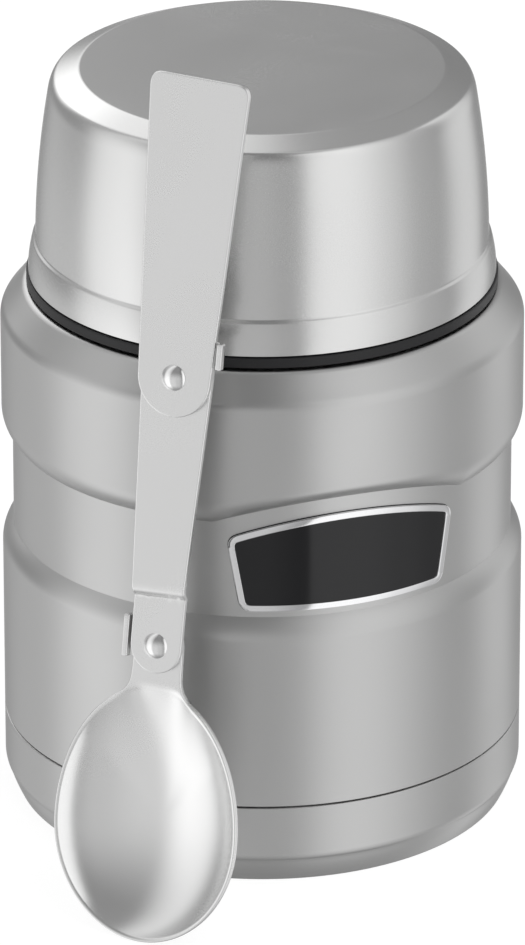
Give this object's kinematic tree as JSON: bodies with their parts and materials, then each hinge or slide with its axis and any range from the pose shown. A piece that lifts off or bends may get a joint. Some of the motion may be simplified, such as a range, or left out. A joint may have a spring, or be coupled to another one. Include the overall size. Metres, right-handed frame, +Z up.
{
  "type": "insulated food jar",
  "caption": "Double-walled steel food jar with screw-in stopper, screw-on bowl lid, waisted body with a blank badge, and a riveted folding spoon standing beside it.",
  "frame": {"origin": "centre of the foot ring, on the surface that the jar stands on", "axes": "+Z up along the jar's axis, -Y to the front where the spoon stands, +X to the right"},
  "size_m": [0.0944, 0.1223, 0.155],
  "materials": {
    "body_steel": "satin, fine matt blasted stainless",
    "lid_steel": "satin stainless, brighter than the body",
    "vessel_steel": "electropolished stainless",
    "getter_metal": "dull sintered",
    "port_solder": "dull",
    "black_moulding": "satin moulded",
    "badge_bright": "polished",
    "badge_black": "semi-gloss",
    "silicone": "matt translucent grey",
    "stopper_black": "satin moulded",
    "foam": "matt closed-cell foam",
    "liner_dark": "satin moulded",
    "spoon_steel": "satin stainless, polished bowl",
    "rivet_steel": "polished"
  },
  "bodies": {
    "jar": {"outer_shell": "body_steel", "inner_vessel": "vessel_steel", "vacuum_end_plate": "vessel_steel", "getter": "getter_metal", "evacuation_seal": "port_solder", "base_cover": "body_steel", "neck_collar": "black_moulding", "badge_bezel": "badge_bright", "badge_plate": "badge_black"},
    "stopper_ring": {"stopper_seal": "silicone"},
    "stopper": {"stopper_body": "stopper_black", "stopper_insulation": "foam", "stopper_base": "stopper_black"},
    "lid_ring": {"lid_seal": "silicone"},
    "lid": {"lid_shell": "lid_steel", "lid_liner": "liner_dark", "lid_insulation": "foam"},
    "spoon_link": {"spoon_link": "spoon_steel", "upper_rivet": "rivet_steel", "lower_rivet": "rivet_steel"},
    "spoon_bowl": {"spoon_bowl": "spoon_steel"},
    "spoon_handle": {"spoon_handle": "spoon_steel"}
  },
  "joints": [
    {"name": "stopper_lift", "type": "slide", "parent": "jar", "child": "stopper_ring", "axis": [0, 0, 1], "range_m": [0, 0.05]},
    {"name": "stopper_turn", "type": "hinge", "parent": "stopper_ring", "child": "stopper", "pos_m": [0, 0, 0.112], "axis": [0, 0, 1], "range_deg": [0, 270]},
    {"name": "lid_lift", "type": "slide", "parent": "stopper_ring", "child": "lid_ring", "axis": [0, 0, 1], "range_m": [0, 0.07]},
    {"name": "lid_turn", "type": "hinge", "parent": "lid_ring", "child": "lid", "pos_m": [0, 0, 0.105], "axis": [0, 0, 1], "range_deg": [0, 270]},
    {"name": "spoon_lift", "type": "slide", "parent": "jar", "child": "spoon_link", "axis": [0, 0, 1], "range_m": [0, 0.16]},
    {"name": "bowl_fold", "type": "hinge", "parent": "spoon_link", "child": "spoon_bowl", "pos_m": [-0.01832, -0.05998, 0.05381], "axis": [-0.4388, -0.8762, 0.1994], "range_deg": [0, 180]},
    {"name": "handle_fold", "type": "hinge", "parent": "spoon_link", "child": "spoon_handle", "pos_m": [-0.015, -0.05335, 0.1023], "axis": [-0.4388, -0.8762, 0.1994], "range_deg": [0, 180]}
  ]
}
